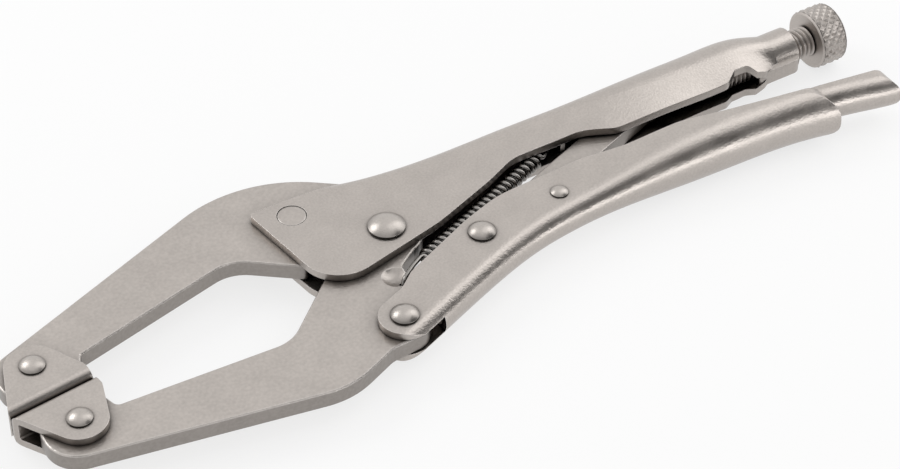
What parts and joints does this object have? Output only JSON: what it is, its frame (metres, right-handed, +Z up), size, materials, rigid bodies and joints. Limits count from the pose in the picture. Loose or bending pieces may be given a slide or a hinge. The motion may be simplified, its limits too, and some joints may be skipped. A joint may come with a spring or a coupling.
{
  "type": "locking pliers",
  "caption": "Long-reach locking pliers with open C-shaped jaws, swivelling flat pads, sheet-metal toggle handles, a release lever and a knurled adjusting screw.",
  "frame": {"origin": "middle of the closed gripping faces, midway between the tool's two flat sides", "axes": "+X along the adjusting screw, from the jaws to the knob; +Y from the squeezed handle to the fixed handle; +Z up, out of the flat side"},
  "size_m": [0.291, 0.0862, 0.019],
  "materials": {
    "plated_sheet": "satin nickel plate with a fine grain",
    "plated_bar": "satin nickel plate",
    "bright_rivet": "smooth bright nickel plate",
    "screw_steel": "turned steel",
    "spring_steel": "dark oiled wire"
  },
  "bodies": {
    "fixed_side": {"fixed_handle": "plated_sheet", "upper_jaw": "plated_bar", "jaw_rivet": "plated_bar", "main_pivot_rivet": "bright_rivet", "return_spring": "spring_steel"},
    "lower_jaw": {"lower_jaw": "plated_bar"},
    "upper_pad": {"upper_pad": "plated_sheet", "upper_pad_rivet": "bright_rivet"},
    "lower_pad": {"lower_pad": "plated_sheet", "lower_pad_rivet": "bright_rivet"},
    "lower_handle": {"lower_handle": "plated_sheet", "handle_rivet": "bright_rivet", "link_rivet": "bright_rivet", "lever_rivet": "bright_rivet"},
    "toggle_link": {"toggle_link": "plated_bar"},
    "release_lever": {"release_lever": "plated_sheet"},
    "adjusting_screw": {"adjusting_screw": "screw_steel"},
    "knob": {"knurled_knob": "screw_steel"}
  },
  "joints": [
    {"name": "jaw_pivot", "type": "hinge", "parent": "fixed_side", "child": "lower_jaw", "pos_m": [0.11025, 0.0102, 0], "axis": [0, 0, 1], "range_deg": [0, 18], "deforming": ["return_spring"]},
    {"name": "handle_pivot", "type": "hinge", "parent": "lower_jaw", "child": "lower_handle", "pos_m": [0.09595, -0.0238, 0], "axis": [0, 0, 1], "range_deg": [-50.9, 0]},
    {"name": "link_pivot", "type": "hinge", "parent": "lower_handle", "child": "toggle_link", "pos_m": [0.13225, -0.006, 0], "axis": [0, 0, 1], "range_deg": [0, 54.4]},
    {"name": "upper_pad_swivel", "type": "hinge", "parent": "fixed_side", "child": "upper_pad", "pos_m": [0.00006, 0.01236, 0], "axis": [0, 0, 1], "range_deg": [0, 9.1]},
    {"name": "lower_pad_swivel", "type": "hinge", "parent": "lower_jaw", "child": "lower_pad", "pos_m": [0.00233, -0.01214, 0], "axis": [0, 0, 1], "range_deg": [-9.1, 0]},
    {"name": "lever_pivot", "type": "hinge", "parent": "lower_handle", "child": "release_lever", "pos_m": [0.16045, -0.0032, 0], "axis": [0, 0, 1], "range_deg": [0, 3]},
    {"name": "screw_travel", "type": "slide", "parent": "fixed_side", "child": "adjusting_screw", "axis": [1, 0, 0], "range_m": [0, 0.014]},
    {"name": "knob_turn", "type": "hinge", "parent": "adjusting_screw", "child": "knob", "pos_m": [0.27025, 0.021, 0], "axis": [1, 0, 0], "range_deg": [0, 2880]}
  ],
  "couplings": [
    {"joint": "handle_pivot", "follows": "jaw_pivot", "ratio": -2.823},
    {"joint": "link_pivot", "follows": "jaw_pivot", "ratio": 3.018},
    {"joint": "upper_pad_swivel", "follows": "jaw_pivot", "ratio": 0.5},
    {"joint": "lower_pad_swivel", "follows": "jaw_pivot", "ratio": -0.5},
    {"joint": "knob_turn", "follows": "screw_travel", "rad_per_m": 3590.4}
  ]
}
